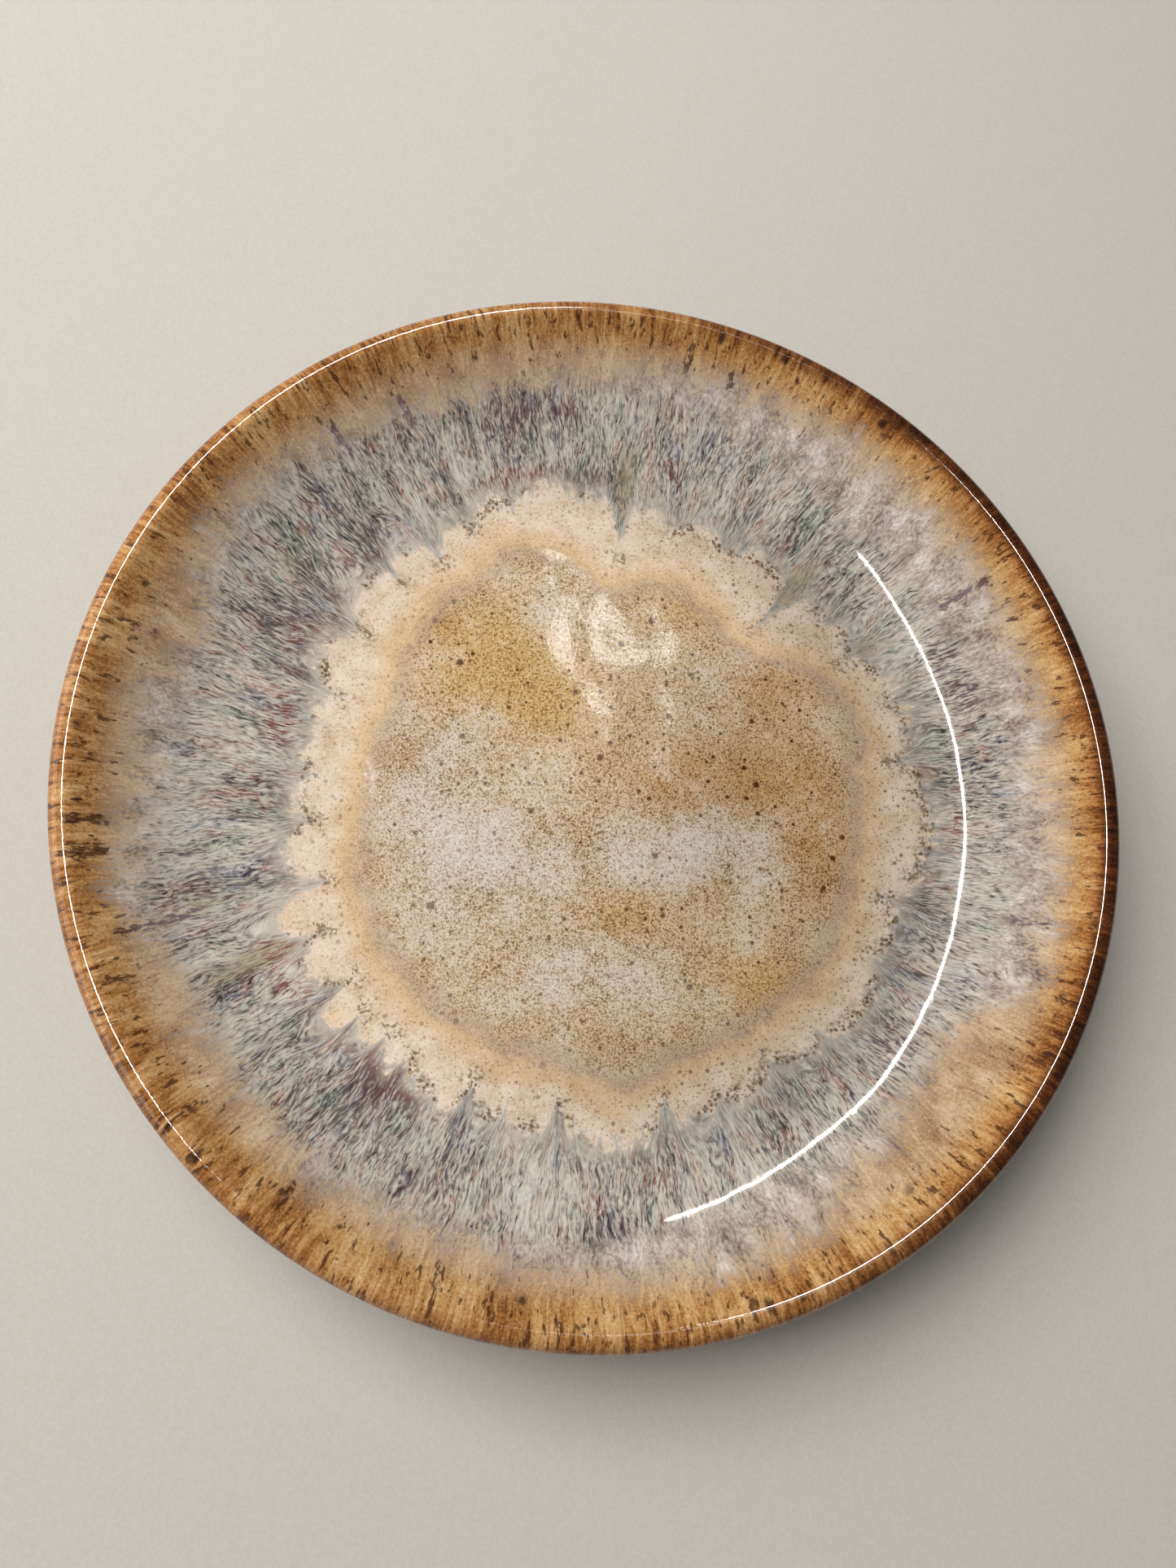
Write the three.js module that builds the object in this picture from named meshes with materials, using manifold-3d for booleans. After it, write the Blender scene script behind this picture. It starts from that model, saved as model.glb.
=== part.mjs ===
// A hand-thrown stoneware dinner plate with a reactive glaze.
// Millimetres, +Z up, the plate lying on its foot ring. The origin is the centre of the foot's resting plane.
// The clay is one solid. Each fired glaze coat is a thin solid of its own, an offset of the clay's section.
import * as THREE from 'three';
import { mergeVertices } from 'three/addons/utils/BufferGeometryUtils.js';
import Module from 'manifold-3d';

// ---- driving dimensions ----
const PLATE_RADIUS = 152.5; // over the glazed lip
const WELL_RADIUS = 72; // flat floor of the well
const WALL_RADIUS = 124; // section radius of the wall, which sweeps from the floor up to the lip in one arc
const CLAY_WALL = 6; // clay thickness in the wall, and the diameter of the bare lip
const CLAY_FLOOR = 7; // clay thickness under the well
const RECESS_HEIGHT = 6; // height of the hollow inside the foot ring
const FOOT_OUTER = 84;
const FOOT_INNER = 76;
const FOOT_TAPER = 0.8; // each side of the foot leans in by this towards its resting face
const FOOT_EDGE = 0.9; // rounding of the foot's two lower edges
const FOOT_FILLET = 3; // rounding where the foot meets the underside
const FOOT_BARE = 4; // bare clay left round the foot, so that no glaze reaches the kiln shelf
const RECESS_BARE = 2.5; // bare clay left round the inside of the foot
const BASE_COAT = 0.8; // speckled coat over the whole face and the lip
const FLOW_COAT = 0.9; // runny coat over the wall, and the pool that it feeds
const FLOW_START = 2.5; // the runny coat starts this far below the lip's rounding
const BACK_COAT = 0.7;
const BOND_GAP = 0.3; // modelling clearance between fused coats
const ROUND_SEGMENTS = 60;
const WALL_STEPS = 7; // chords in the wall's arc
const LIP_STEPS = 6; // chords round the clay's half-round lip
const COAT_LIP_STEPS = 4; // chords of each coat that goes over the lip
const SCALLOP_STEPS = 6; // chords in each scallop of the runny coat's ragged end
const POOL_STEPS = 90; // chords round the pool's inner edge

// Where the runny coat ends on the wall: drips with a rounded scallop between each and the next.
// Each is [degrees round the plate, radius of the drip's tip, radius at the middle of the scallop after it].
const DRIPS = [
  [5.5, 91.7, 99.6], [17, 95.3, 97.2], [28, 88.7, 93.8], [36, 89.1, 92.9], [43.4, 90.4, 84.5],
  [46, 73.4, 84.5], [48.8, 90.2, 93], [62.4, 87.6, 92.8], [72.8, 87.4, 92.2], [81.8, 90.6, 87],
  [84.2, 77.6, 88], [87.4, 93.2, 96], [93.5, 94.2, 98.6], [106, 95.2, 97.6], [115, 92.2, 95.2],
  [123.4, 87, 96.8], [132.8, 90.2, 95.8], [146.2, 85.6, 92.6], [160.2, 84.2, 88.2], [168, 86, 89.2],
  [177, 86.4, 90.6], [186.2, 85.2, 94.4], [198.4, 85.8, 102], [206.6, 92.2, 101.4], [216.8, 91.6, 105],
  [222.5, 96, 102.8], [228, 95, 99.4], [233.3, 95.8, 100.8], [239.3, 98.4, 101.9], [244.6, 92.2, 100.6],
  [251, 96, 100.2], [259.9, 92.2, 102.4], [278.3, 92.4, 98.8], [287.5, 94, 96.9], [298.9, 91.2, 96.6],
  [308.5, 95.6, 99.8], [327.2, 93.6, 96.6], [338, 90.6, 100.8], [359.5, 96.6, 98.2],
];
const SCALLOP_ROUNDNESS = 0.6; // 1 is a flat arch between drips, and smaller numbers are squarer

// Where the pool at the foot of the wall ends, as [degrees, radius] round the well.
const POOL_EDGE = [
  [0, 82], [14, 86], [30, 80.5], [47, 65.5], [58, 70.5], [72, 73], [87, 67.5], [98, 78], [107, 83], [122, 79],
  [140, 75.5], [158, 70], [180, 72], [200, 78.5], [220, 82.5], [245, 83], [260, 83.5], [271, 88.5], [281, 85],
  [300, 83.5], [316, 85.5], [340, 82],
];

// ---- places worked out from the driving dimensions ----
const LIP_RADIUS = CLAY_WALL / 2;
const FLOOR_Z = RECESS_HEIGHT + CLAY_FLOOR;
const WALL_CENTRE = new THREE.Vector2(WELL_RADIUS, FLOOR_Z + WALL_RADIUS);
const LIP_CENTRE_X = PLATE_RADIUS - LIP_RADIUS - BOND_GAP - BASE_COAT;
// The wall's slope where it meets the lip.
const WALL_ANGLE = Math.asin((LIP_CENTRE_X - WELL_RADIUS) / (WALL_RADIUS + LIP_RADIUS));
const WALL_FOOT_ANGLE = -Math.PI / 2;
const WALL_TOP_ANGLE = WALL_FOOT_ANGLE + WALL_ANGLE;
const LIP_CENTRE = onArc(WALL_CENTRE, WALL_RADIUS + LIP_RADIUS, WALL_TOP_ANGLE);
const LIP_FACE_ANGLE = WALL_TOP_ANGLE + Math.PI; // where the lip's half circle leaves the face
const LIP_BACK_ANGLE = WALL_TOP_ANGLE; // where it meets the back
const FLOW_BOTTOM = 2 * BOND_GAP + BASE_COAT;
const FLOW_TOP = FLOW_BOTTOM + FLOW_COAT;

const wasm = await Module();
wasm.setup();

// ---- the section: x is the radius, y the height ----
function onArc(centre, radius, angle) {
  return new THREE.Vector2(centre.x + radius * Math.cos(angle), centre.y + radius * Math.sin(angle));
}

function arc(centre, radius, from, to, steps) {
  return Array.from({ length: steps + 1 }, (_, i) => onArc(centre, radius, from + (to - from) * i / steps));
}

// The face raised by offset from the clay, from startRadius in the well to short of the lip's rounding.
function faceLine(offset, startRadius, short = 0) {
  const end = WALL_TOP_ANGLE - short / WALL_RADIUS;
  return [
    new THREE.Vector2(startRadius, FLOOR_Z + offset),
    ...arc(WALL_CENTRE, WALL_RADIUS - offset, WALL_FOOT_ANGLE, end, WALL_STEPS),
  ];
}

// The clay's back, raised outwards by offset: from the lip's rounding in to the radius endRadius.
function backLine(offset, endRadius) {
  const radius = WALL_RADIUS + CLAY_WALL + offset;
  const end = -Math.acos((endRadius - WELL_RADIUS) / radius);
  return arc(WALL_CENTRE, radius, WALL_TOP_ANGLE, end, WALL_STEPS);
}

function lipLine(offset, from, to, steps) {
  return arc(LIP_CENTRE, LIP_RADIUS + offset, from, to, steps);
}

function clayProfile() {
  const outerEdge = new THREE.Vector2(FOOT_OUTER - FOOT_TAPER - FOOT_EDGE, FOOT_EDGE);
  const innerEdge = new THREE.Vector2(FOOT_INNER + FOOT_TAPER + FOOT_EDGE, FOOT_EDGE);
  return [
    ...faceLine(0, 0),
    ...lipLine(0, LIP_FACE_ANGLE, LIP_BACK_ANGLE, LIP_STEPS),
    ...backLine(0, FOOT_OUTER + FOOT_FILLET),
    new THREE.Vector2(FOOT_OUTER + FOOT_FILLET * 0.3, RECESS_HEIGHT + FOOT_FILLET * 0.07),
    new THREE.Vector2(FOOT_OUTER, RECESS_HEIGHT - FOOT_FILLET / 2),
    ...arc(outerEdge, FOOT_EDGE, 0, -Math.PI / 2, 3),
    ...arc(innerEdge, FOOT_EDGE, -Math.PI / 2, -Math.PI, 3),
    new THREE.Vector2(FOOT_INNER, RECESS_HEIGHT - FOOT_FILLET / 2),
    new THREE.Vector2(FOOT_INNER - FOOT_FILLET / 2, RECESS_HEIGHT),
    new THREE.Vector2(0, RECESS_HEIGHT),
  ];
}

function baseCoatProfile() {
  const top = BOND_GAP + BASE_COAT;
  return [
    ...faceLine(top, 0),
    ...lipLine(top, LIP_FACE_ANGLE, 0, COAT_LIP_STEPS),
    ...lipLine(BOND_GAP, 0, LIP_FACE_ANGLE, COAT_LIP_STEPS),
    ...faceLine(BOND_GAP, 0).reverse(),
  ];
}

// The runny coat and its pool before they are cut apart: one shell that runs from inside the pool's edge
// to below the lip.
function flowShellProfile() {
  const innermost = Math.min(...POOL_EDGE.map(([, radius]) => radius)) - 5;
  const top = faceLine(FLOW_TOP, innermost, FLOW_START);
  const bottom = faceLine(FLOW_BOTTOM, innermost, FLOW_START);
  return [...top, ...bottom.reverse(), top[0].clone()];
}

function backCoatProfile() {
  const innerEnd = FOOT_OUTER + FOOT_BARE;
  const outer = BOND_GAP + BACK_COAT;
  // The base coat ends level with the lip's centre, so this coat starts a gap below it.
  const start = -BOND_GAP / (LIP_RADIUS + BOND_GAP);
  const skin = [...lipLine(outer, start, LIP_BACK_ANGLE, COAT_LIP_STEPS), ...backLine(outer, innerEnd)];
  const bond = [...lipLine(BOND_GAP, start, LIP_BACK_ANGLE, COAT_LIP_STEPS), ...backLine(BOND_GAP, innerEnd)];
  return [...skin, ...bond.reverse(), skin[0].clone()];
}

function recessCoatProfile() {
  const radius = FOOT_INNER - FOOT_FILLET / 2 - RECESS_BARE;
  const top = RECESS_HEIGHT - BOND_GAP;
  return [
    new THREE.Vector2(0, top),
    new THREE.Vector2(radius, top),
    new THREE.Vector2(radius, top - BACK_COAT / 2),
    new THREE.Vector2(radius - BACK_COAT, top - BACK_COAT),
    new THREE.Vector2(0, top - BACK_COAT),
  ];
}

// ---- the glaze's outlines, seen from above ----
function polar(degrees, radius) {
  const angle = THREE.MathUtils.degToRad(degrees);
  return new THREE.Vector2(radius * Math.cos(angle), radius * Math.sin(angle));
}

// The ragged end of the runny coat: straight from tip to tip, plus an arch.
function dripOutline(grow) {
  return DRIPS.flatMap(([degrees, tip, scallop], i) => {
    const [nextDegrees, nextTip] = DRIPS[(i + 1) % DRIPS.length];
    const span = (nextDegrees - degrees + 360) % 360;
    const rise = scallop - (tip + nextTip) / 2;
    return Array.from({ length: SCALLOP_STEPS }, (_, k) => {
      const u = (1 - Math.cos(Math.PI * k / SCALLOP_STEPS)) / 2; // closer together near the tips
      const arch = rise * (4 * u * (1 - u)) ** SCALLOP_ROUNDNESS;
      return polar(degrees + span * u, tip + (nextTip - tip) * u + arch + grow);
    });
  });
}

function poolOutline() {
  const points = POOL_EDGE.map(([degrees, radius]) => polar(degrees, radius));
  const curve = new THREE.CatmullRomCurve3(points.map((p) => new THREE.Vector3(p.x, p.y, 0)), true);
  return curve.getPoints(POOL_STEPS).slice(0, -1).map((p) => new THREE.Vector2(p.x, p.y));
}

// ---- solids ----
function revolve(profile) {
  return new THREE.LatheGeometry(profile.slice().reverse(), ROUND_SEGMENTS).rotateX(Math.PI / 2);
}

function prism(outline) {
  return new THREE.ExtrudeGeometry(new THREE.Shape(outline), { depth: PLATE_RADIUS, bevelEnabled: false });
}

function toSolid(geometry) {
  const bare = geometry.clone();
  bare.deleteAttribute('normal');
  bare.deleteAttribute('uv');
  const merged = mergeVertices(bare, 1e-4);
  return new wasm.Manifold(new wasm.Mesh({
    numProp: 3,
    vertProperties: merged.attributes.position.array,
    triVerts: new Uint32Array(merged.index.array),
  }));
}

function toGeometry(solid) {
  const mesh = solid.getMesh();
  const geometry = new THREE.BufferGeometry();
  geometry.setAttribute('position', new THREE.BufferAttribute(mesh.vertProperties, 3));
  geometry.setIndex(new THREE.BufferAttribute(mesh.triVerts, 1));
  geometry.computeVertexNormals();
  return geometry;
}

const plate = new THREE.Group();

function add(name, geometry, color, roughness) {
  const mesh = new THREE.Mesh(geometry, new THREE.MeshStandardMaterial({ color, roughness, metalness: 0 }));
  mesh.name = name;
  plate.add(mesh);
}

const flowShell = toSolid(revolve(flowShellProfile()));
const insideTheDrips = toSolid(prism(dripOutline(0)));
const insideTheDripsAndGap = toSolid(prism(dripOutline(BOND_GAP)));
const insideThePool = toSolid(prism(poolOutline()));
const poolRing = flowShell.intersect(insideTheDrips).subtract(insideThePool);
const wallCoat = flowShell.subtract(insideTheDripsAndGap);

add('stoneware_body', revolve(clayProfile()), 0xb39a7c, 0.85);
add('speckled_base_glaze', revolve(baseCoatProfile()), 0xc2a47c, 0.12);
add('cream_pool_glaze', toGeometry(poolRing), 0xe3c6a2, 0.1);
add('streaked_wall_glaze', toGeometry(wallCoat), 0x9c9aa0, 0.1);
add('back_glaze', revolve(backCoatProfile()), 0x7a4a22, 0.15);
add('foot_recess_glaze', revolve(recessCoatProfile()), 0x8a5a2e, 0.18);

export default plate;
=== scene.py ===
import math
from types import SimpleNamespace

import bpy
import numpy as np
from mathutils import Matrix, Vector


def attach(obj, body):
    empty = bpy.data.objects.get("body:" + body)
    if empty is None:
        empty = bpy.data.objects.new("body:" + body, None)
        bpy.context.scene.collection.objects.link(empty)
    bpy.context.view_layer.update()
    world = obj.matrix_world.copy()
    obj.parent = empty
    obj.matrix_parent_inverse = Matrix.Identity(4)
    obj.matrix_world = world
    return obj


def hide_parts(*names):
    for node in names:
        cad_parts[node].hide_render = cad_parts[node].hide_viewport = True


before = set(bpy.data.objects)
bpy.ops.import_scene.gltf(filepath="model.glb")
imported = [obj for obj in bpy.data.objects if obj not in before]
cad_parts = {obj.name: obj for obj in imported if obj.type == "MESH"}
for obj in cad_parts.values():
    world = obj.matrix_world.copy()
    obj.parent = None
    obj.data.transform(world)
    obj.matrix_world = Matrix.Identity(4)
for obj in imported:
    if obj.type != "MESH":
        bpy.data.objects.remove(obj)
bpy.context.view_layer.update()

# A hand-thrown stoneware dinner plate with a reactive glaze, lying on its foot ring.
# Shapes are worked out in millimetres in the CAD part's frame, and scaled to metres when a mesh is made.
MM = 0.001

# ---- the plate's section, the same dimensions as the CAD part ----
PLATE_RADIUS = 152.5
WELL_RADIUS = 72.0
WALL_RADIUS = 124.0
CLAY_WALL = 6.0
CLAY_FLOOR = 7.0
RECESS_HEIGHT = 6.0
FOOT_OUTER = 84.0
FOOT_INNER = 76.0
FOOT_TAPER = 0.8
FOOT_EDGE = 0.9
FOOT_FILLET = 3.0
FOOT_BARE = 4.0
RECESS_BARE = 2.5
FLOW_START = 2.5
BOND_GAP = 0.3
BASE_TOP = 1.1  # height of the speckled coat's surface above the clay
BACK_TOP = 1.0  # height of the back coat's surface above the clay
POOL_DEPTH = 0.3  # thickness of the runny coat and its pool
FUSED_GAP = 0.02  # between the runny coat and the coat under it

LIP_RADIUS = CLAY_WALL / 2
FLOOR_Z = RECESS_HEIGHT + CLAY_FLOOR
WALL_CENTRE = np.array([WELL_RADIUS, FLOOR_Z + WALL_RADIUS])
LIP_CENTRE_X = PLATE_RADIUS - LIP_RADIUS - BASE_TOP
WALL_ANGLE = math.asin((LIP_CENTRE_X - WELL_RADIUS) / (WALL_RADIUS + LIP_RADIUS))
LIP_CENTRE_Z = WALL_CENTRE[1] - (WALL_RADIUS + LIP_RADIUS) * math.cos(WALL_ANGLE)
LIP_CENTRE = np.array([LIP_CENTRE_X, LIP_CENTRE_Z])
LIP_FACE_ANGLE = math.pi / 2 + WALL_ANGLE
LIP_BACK_ANGLE = WALL_ANGLE - math.pi / 2
BACK_RADIUS = WALL_RADIUS + CLAY_WALL
WALL_END = WELL_RADIUS + WALL_RADIUS * WALL_ANGLE  # run along the clay's face to the lip's rounding
LIP_END = WALL_END + LIP_RADIUS * LIP_FACE_ANGLE  # run to the lip's outermost line
FLOW_END = WALL_END - FLOW_START  # run to the runny coat's outer end

# Where the runny coat ends on the wall: drips with a rounded scallop between each and the next.
# Each is (degrees round the plate, radius of the drip's tip, radius at the middle of the scallop after it).
DRIPS = [
    (5.5, 91.7, 99.6), (17, 95.3, 97.2), (28, 88.7, 93.8), (36, 89.1, 92.9), (43.4, 90.4, 84.5),
    (46, 73.4, 84.5), (48.8, 90.2, 93), (62.4, 87.6, 92.8), (72.8, 87.4, 92.2), (81.8, 90.6, 87),
    (84.2, 77.6, 88), (87.4, 93.2, 96), (93.5, 94.2, 98.6), (106, 95.2, 97.6), (115, 92.2, 95.2),
    (123.4, 87, 96.8), (132.8, 90.2, 95.8), (146.2, 85.6, 92.6), (160.2, 84.2, 88.2), (168, 86, 89.2),
    (177, 86.4, 90.6), (186.2, 85.2, 94.4), (198.4, 85.8, 102), (206.6, 92.2, 101.4), (216.8, 91.6, 105),
    (222.5, 96, 102.8), (228, 95, 99.4), (233.3, 95.8, 100.8), (239.3, 98.4, 101.9), (244.6, 92.2, 100.6),
    (251, 96, 100.2), (259.9, 92.2, 102.4), (278.3, 92.4, 98.8), (287.5, 94, 96.9), (298.9, 91.2, 96.6),
    (308.5, 95.6, 99.8), (327.2, 93.6, 96.6), (338, 90.6, 100.8), (359.5, 96.6, 98.2),
]
SCALLOP_ROUNDNESS = 0.6

# Lines round the plate, as (degrees, radius): the pool's inner edge, where frost gives way to amber, and
# where the long fibres of the runny coat give way to frost.
POOL_EDGE = [
    (0, 82), (14, 86), (30, 80.5), (47, 65.5), (58, 70.5), (72, 73), (87, 67.5), (98, 78), (107, 83),
    (122, 79), (140, 75.5), (158, 70), (180, 72), (200, 78.5), (220, 82.5), (245, 83), (260, 83.5),
    (271, 88.5), (281, 85), (300, 83.5), (316, 85.5), (340, 82),
]
AMBER_EDGE = [
    (0, 134), (30, 135.5), (60, 135.5), (85, 134), (97, 131.5), (115, 130.5), (124, 132), (138, 136),
    (152, 133), (160, 125.5), (170, 134), (182, 132), (192, 137.5), (202, 132.5), (218, 131), (228, 133),
    (245, 133), (262, 133.5), (278, 137), (292, 133.5), (305, 127), (315, 123.5), (324, 125), (331, 134),
    (345, 135.5),
]
FROST_EDGE = [
    (10, 123.5), (37, 119), (54, 120), (75, 126.7), (105, 129.3), (135, 130.5), (143, 132), (158, 124),
    (182, 125.5), (196, 132), (208, 129.3), (223, 130.5), (248, 129.3), (263, 128), (278, 123), (317, 123),
    (345, 125),
]

# Patches of colour in the runny coat: (degrees, radius, half width in degrees, half length, strength).
PATCHES = {
    "plum": [
        (14, 119, 7, 7, 0.8), (22, 114, 4, 6, 0.6), (53.5, 105, 4, 6, 0.7), (76.5, 105.7, 4, 6, 0.7),
        (91, 100, 3, 5, 0.7), (100, 122, 8, 6, 1), (136, 102.5, 5, 6, 0.8), (142, 95, 4, 4, 0.6),
        (151.5, 105, 4, 6, 0.7), (158.6, 98.7, 4, 5, 0.7), (170, 97.4, 3.5, 6, 1), (194, 97.4, 4, 6, 0.9),
        (232, 107, 7, 9, 1), (242, 125, 5, 6, 0.5), (273, 126, 5, 5, 0.6), (316.5, 111, 4, 8, 0.7),
    ],
    "rust": [
        (104, 103.5, 6, 4, 1), (150, 95, 4, 5, 0.7), (153, 104, 3, 4, 0.6), (168, 98, 4, 5, 0.9),
        (178, 103, 3, 4, 0.5), (210, 105, 6, 5, 1), (223, 106, 3, 4, 0.4), (229, 102, 4, 6, 0.5),
        (236, 105, 4, 5, 0.4), (275, 113, 3, 5, 0.5), (353, 107.6, 4, 4, 0.8),
    ],
    "dark": [
        (51, 110, 4, 13, 0.7), (71.5, 113, 6, 10, 0.8), (100, 123, 10, 7, 1), (134, 115, 6, 13, 0.8),
        (152, 110, 7, 12, 0.8), (195, 112, 3, 10, 0.8), (231, 114, 8, 14, 0.9), (276, 102, 3, 8, 0.8),
        (299, 102, 6, 8, 0.8), (4, 101, 13, 7, 0.9), (97, 101, 12, 5, 0.8), (320, 101, 11, 6, 0.7),
        (343, 101, 7, 6, 0.6),
    ],
    "pale": [
        (38, 127, 6, 6, 0.9), (176, 113, 12, 10, 0.8), (200, 100, 5, 5, 0.6), (259, 110, 5, 14, 0.7),
        (285, 108, 7, 12, 0.6), (330, 118, 5, 12, 0.8),
    ],
    "olive": [
        (28, 97, 2.5, 8, 0.8), (46, 95, 3, 14, 1), (84.2, 102, 2.5, 16, 0.9), (144, 115.5, 2, 4, 0.8),
        (197, 119, 2.5, 7, 0.7), (206.5, 112, 2, 17, 1),
    ],
    "orange": [(200.5, 100.5, 3, 4, 1), (220, 103, 3, 4, 0.8), (269, 93.5, 3, 2.5, 0.8)],
}

# Broad sweeps of painted light and painted shade: the face is painted lighter towards the left, where the
# light comes from, and darker towards the right and over the well's right side. The narrow rows near radius
# 100 darken thin bands.
PAINTED_LIGHT_SWEEPS = [(185, 108, 62, 15, 0.16), (160, 146, 55, 6, 0.2)]
PAINTED_SHADE_SWEEPS = [
    (325, 92, 62, 20, 0.34), (275, 88, 30, 14, 0.12), (40, 88, 38, 14, 0.26), (345, 42, 75, 32, 0.2),
    (2, 100, 16, 6, 0.08), (96, 101, 12, 6, 0.08), (318, 102, 16, 6, 0.07),
]

# Streaks that run down from the lip, each as (degrees, outer radius, inner radius, strength).
STREAKS = [
    (16.5, 139, 133, 0.4), (21.4, 146, 136, 0.7), (27.5, 138, 121.6, 1), (43, 146, 141, 0.7),
    (59.7, 141, 128, 0.45), (71.5, 139.5, 134, 0.9), (77.7, 144, 134, 0.8), (106, 140, 137, 0.9),
    (117, 139.5, 125.5, 0.7), (126.8, 137, 125.5, 0.8), (162.5, 145, 134, 0.6), (174, 144.6, 138, 0.7),
    (182.7, 135.7, 128, 0.4), (185.4, 149.7, 137, 1), (188.9, 149.7, 138, 1), (198, 140.8, 119, 0.9),
    (203, 149, 138, 0.7), (231, 146, 138, 0.8), (248.8, 144.6, 137, 0.7), (256.8, 135.7, 126.7, 0.4),
    (295.9, 140.8, 131.8, 0.4), (303, 138, 121.6, 0.4), (305.8, 138, 121.6, 0.4), (309.6, 146, 140.8, 0.7),
    (325.3, 149.7, 143, 0.9), (332, 148.4, 142, 1), (340.2, 135.7, 124.2, 0.8),
]
STREAK_HALF_WIDTH = 1.7

# Clouds of colour in the well, each as (x, y, half width along x, half width along y, strength).
CLOUDS = {
    "cloud": [
        # The first cloud, tall and pale left of the well's centre, is partly the glaze's own pale cloud and
        # partly a painted reflection of the strip lamp.
        (-55, 6, 16, 22, 0.7), (-40, 14, 16, 14, 0.35), (-26, -20, 30, 20, 0.8), (22, -18, 28, 13, 0.7),
        (44, -24, 16, 16, 0.4), (-4, -56, 30, 13, 0.85), (32, 30, 16, 14, 0.5), (-4, 58, 18, 11, 0.4),
        (-48, -30, 18, 18, 0.5),
    ],
    "ochre": [
        (-36, 42, 24, 20, 1), (4, -38, 17, 8, 0.6), (44, -58, 16, 10, 0.8), (-14, 26, 20, 16, 0.6),
        (28, 60, 20, 10, 0.5),
    ],
    "amber_cloud": [
        (-50, 52, 12, 9, 0.9), (22, 3, 14, 8, 0.9), (46, 2, 26, 17, 0.9), (66, -16, 12, 22, 0.9),
        (56, 34, 18, 16, 0.8), (36, -40, 20, 12, 0.4), (-62, -14, 10, 18, 0.3),
    ],
}


# ---- curves and fields ----
def hermite(u, start, end, start_slope, end_slope):
    """A smooth curve's value at u, from 0 at its start to 1 at its end."""
    return (
        start * (1 + 2 * u) * (1 - u) ** 2 + end * u * u * (3 - 2 * u)
        + start_slope * u * (1 - u) ** 2 - end_slope * u * u * (1 - u)
    )


def ring_line(table, degrees):
    """The radius at each angle of a closed smooth line through the table's points."""
    angles, radii = np.array(table, float).T
    angles = np.concatenate([angles[-2:] - 360, angles, angles[:3] + 360])
    radii = np.concatenate([radii[-2:], radii, radii[:3]])
    slopes = np.gradient(radii, angles)
    turn = np.mod(degrees - angles[1], 360) + angles[1]
    left = np.clip(np.searchsorted(angles, turn, side="right") - 1, 0, len(angles) - 2)
    right = left + 1
    span = angles[right] - angles[left]
    u = (turn - angles[left]) / span
    return hermite(u, radii[left], radii[right], span * slopes[left], span * slopes[right])


def drip_line(degrees):
    """The radius at each angle of the runny coat's ragged end."""
    starts, tips, arches = np.array(DRIPS).T
    turn = np.mod(degrees - starts[0], 360) + starts[0]
    left = np.searchsorted(starts, turn, side="right") - 1
    right = (left + 1) % len(DRIPS)
    span = np.mod(starts[right] - starts[left], 360)
    u = (turn - starts[left]) / span
    rise = arches[left] - (tips[left] + tips[right]) / 2
    return tips[left] + (tips[right] - tips[left]) * u + rise * (4 * u * (1 - u)) ** SCALLOP_ROUNDNESS


def turn_between(degrees, centre):
    """Signed degrees from the centre to each angle, the short way round."""
    return np.mod(degrees - centre + 180, 360) - 180


def soft_step(value, low, high):
    u = np.clip((value - low) / (high - low), 0, 1)
    return u * u * (3 - 2 * u)


def ring_patches(table, degrees, radius):
    """How strongly patches that follow the ring cover each point."""
    total = np.zeros_like(radius)
    for centre, middle, half_width, half_length, strength in table:
        across = turn_between(degrees, centre) / half_width
        along = (radius - middle) / half_length
        total += strength * np.exp(-across**2 - along**2)
    return total


def clouds(table, x, y):
    """How strongly the well's clouds cover each point."""
    total = np.zeros_like(x)
    for middle_x, middle_y, half_x, half_y, strength in table:
        total += strength * np.exp(-(((x - middle_x) / half_x) ** 2) - ((y - middle_y) / half_y) ** 2)
    return total


def streak_field(degrees, radius):
    """How strongly the lip's streaks cover each point."""
    total = np.zeros_like(radius)
    for centre, outer, inner, strength in STREAKS:
        across = np.radians(turn_between(degrees, centre)) * radius
        along = soft_step(radius, inner - 2, inner + 1.5) * (1 - soft_step(radius, outer - 1.5, outer + 2))
        total += strength * along * np.exp(-((across / STREAK_HALF_WIDTH) ** 2))
    return total


def drip_depth(i):
    """How far the drip reaches inwards of the scallops on its two sides."""
    return max(DRIPS[i - 1][2], DRIPS[i][2]) - DRIPS[i][1]


TIP_HALF_WIDTH = 4.2
TIP_HALF_LENGTH = 3.6
DEEP_DRIP = 7  # a drip this deep or deeper counts in full


def tip_field(degrees, radius):
    """1 at the tip of each deep drip and 0 away from it."""
    total = np.zeros_like(radius)
    for i, (centre, tip, _) in enumerate(DRIPS):
        across = np.radians(turn_between(degrees, centre)) * radius / TIP_HALF_WIDTH
        along = (radius - tip + 1.0) / TIP_HALF_LENGTH
        total += np.clip(drip_depth(i) / DEEP_DRIP, 0.2, 1) * np.exp(-across**2 - along**2)
    return total


STRAIGHTENING = 11  # how far outwards of the drips the strands turn straight again


def converging_turn(degrees, edge):
    """The angle that a strand at each point comes from, so that strands close up on the drips' tips."""
    moved = np.array(degrees, float)
    near = np.exp(-np.clip(edge + 1, 0, None) / STRAIGHTENING)
    for i, (centre, _, _) in enumerate(DRIPS):
        before = turn_between(centre, DRIPS[i - 1][0])
        after = turn_between(DRIPS[(i + 1) % len(DRIPS)][0], centre)
        width = 0.3 * min(before, after)
        x = turn_between(degrees, centre) / width
        moved += width * min(1.6, 0.2 * drip_depth(i)) * near * x * np.exp(-x * x / 2)
    return moved


rng = np.random.default_rng(467)


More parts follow.
